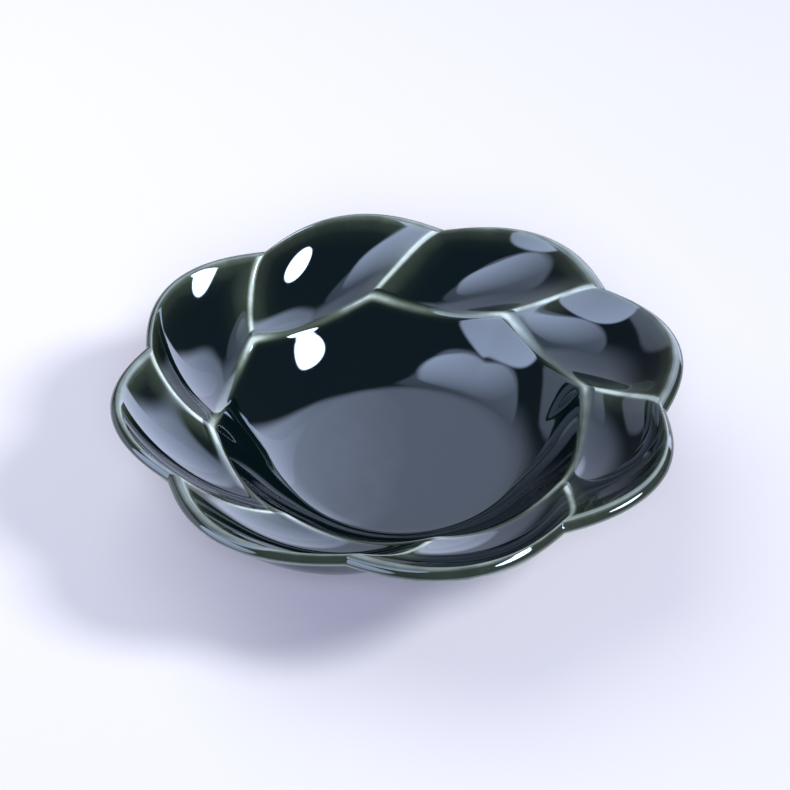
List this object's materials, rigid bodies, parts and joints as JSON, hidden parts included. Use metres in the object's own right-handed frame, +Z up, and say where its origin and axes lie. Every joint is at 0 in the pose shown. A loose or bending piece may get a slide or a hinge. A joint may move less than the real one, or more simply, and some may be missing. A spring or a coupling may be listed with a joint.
{
  "type": "flower-shaped dish",
  "caption": "Round stoneware serving dish: a deep well inside a crown of scooped petals that overlap in a spiral, under dark glossy glaze that breaks pale on the crests, on a foot ring.",
  "frame": {"origin": "centre of the face that the foot ring stands on", "axes": "+Z up along the axis of the well; +X through the inner end of one ridge between two petals; +Y completes a right-handed frame"},
  "size_m": [0.1784, 0.1784, 0.0449],
  "materials": {
    "fired_clay": "matte, bare fired stoneware",
    "green_glaze": "glossy, near-black green, pale where it runs thin"
  },
  "bodies": {
    "root": {"clay_body": "fired_clay", "glaze_coat": "green_glaze", "base_glaze": "green_glaze"}
  },
  "joints": []
}
